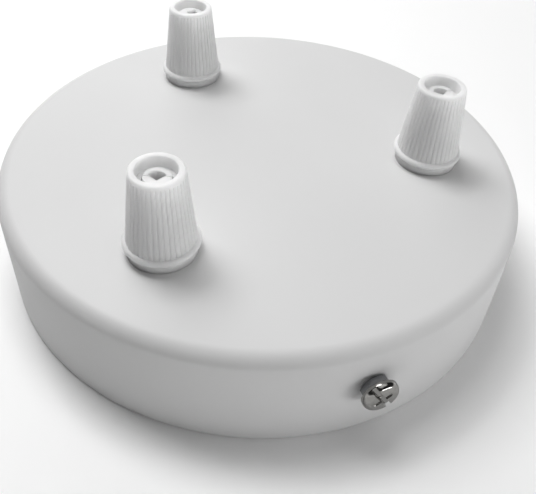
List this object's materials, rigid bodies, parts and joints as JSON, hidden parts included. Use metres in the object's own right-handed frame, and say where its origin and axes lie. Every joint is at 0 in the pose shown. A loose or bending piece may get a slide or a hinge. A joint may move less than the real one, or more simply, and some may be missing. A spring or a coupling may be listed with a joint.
{
  "type": "electrical ceiling rose",
  "caption": "Round pressed steel ceiling rose canopy with ribbed conical cord grips on its face, side screws and a crossbar with terminals inside.",
  "frame": {"origin": "centre of the canopy's open rim, in the ceiling plane", "axes": "+Z out of the ceiling towards the cord grips, Y along the crossbar and both side screws, with the first side screw at -Y"},
  "size_m": [0.12, 0.1274, 0.0448],
  "materials": {
    "white_powder_coat": "matte white powder coat",
    "white_grip_plastic": "satin moulded plastic",
    "nickel_plated_steel": "bright nickel plate",
    "zinc_plated_steel": "bright zinc plate",
    "brass": "plain turned brass",
    "terminal_plastic": "natural white polyamide"
  },
  "bodies": {
    "rose": {"canopy": "white_powder_coat", "crossbar": "zinc_plated_steel", "grip_base_1": "white_grip_plastic", "grip_base_2": "white_grip_plastic", "grip_base_3": "white_grip_plastic", "grip_locknuts": "zinc_plated_steel", "earth_screw": "brass", "earth_cup_washer": "brass", "terminal_block": "terminal_plastic", "terminal_tube_1": "brass", "terminal_tube_2": "brass", "terminal_tube_3": "brass", "terminal_screws": "zinc_plated_steel", "terminal_block_screws": "zinc_plated_steel"},
    "grip_cap_1": {"grip_cap_1": "white_grip_plastic"},
    "grip_cap_2": {"grip_cap_2": "white_grip_plastic"},
    "grip_cap_3": {"grip_cap_3": "white_grip_plastic"},
    "side_screw_1": {"side_screw_1": "nickel_plated_steel", "side_locknut_1": "zinc_plated_steel"},
    "side_screw_2": {"side_screw_2": "nickel_plated_steel", "side_locknut_2": "zinc_plated_steel"}
  },
  "joints": [
    {"name": "cap_1_turn", "type": "hinge", "parent": "rose", "child": "grip_cap_1", "pos_m": [-0.0304, -0.02427, 0.025], "axis": [0, 0, 1], "range_deg": [0, 1740]},
    {"name": "cap_2_turn", "type": "hinge", "parent": "rose", "child": "grip_cap_2", "pos_m": [0.03622, -0.01419, 0.025], "axis": [0, 0, 1], "range_deg": [0, 1740]},
    {"name": "cap_3_turn", "type": "hinge", "parent": "rose", "child": "grip_cap_3", "pos_m": [-0.00582, 0.03846, 0.025], "axis": [0, 0, 1], "range_deg": [0, 1740]},
    {"name": "side_screw_1_turn", "type": "hinge", "parent": "rose", "child": "side_screw_1", "pos_m": [0, -0.06, 0.0135], "axis": [0, -1, 0], "range_deg": [0, 2700]},
    {"name": "side_screw_2_turn", "type": "hinge", "parent": "rose", "child": "side_screw_2", "pos_m": [0, 0.06, 0.0135], "axis": [0, 1, 0], "range_deg": [0, 2700]}
  ]
}
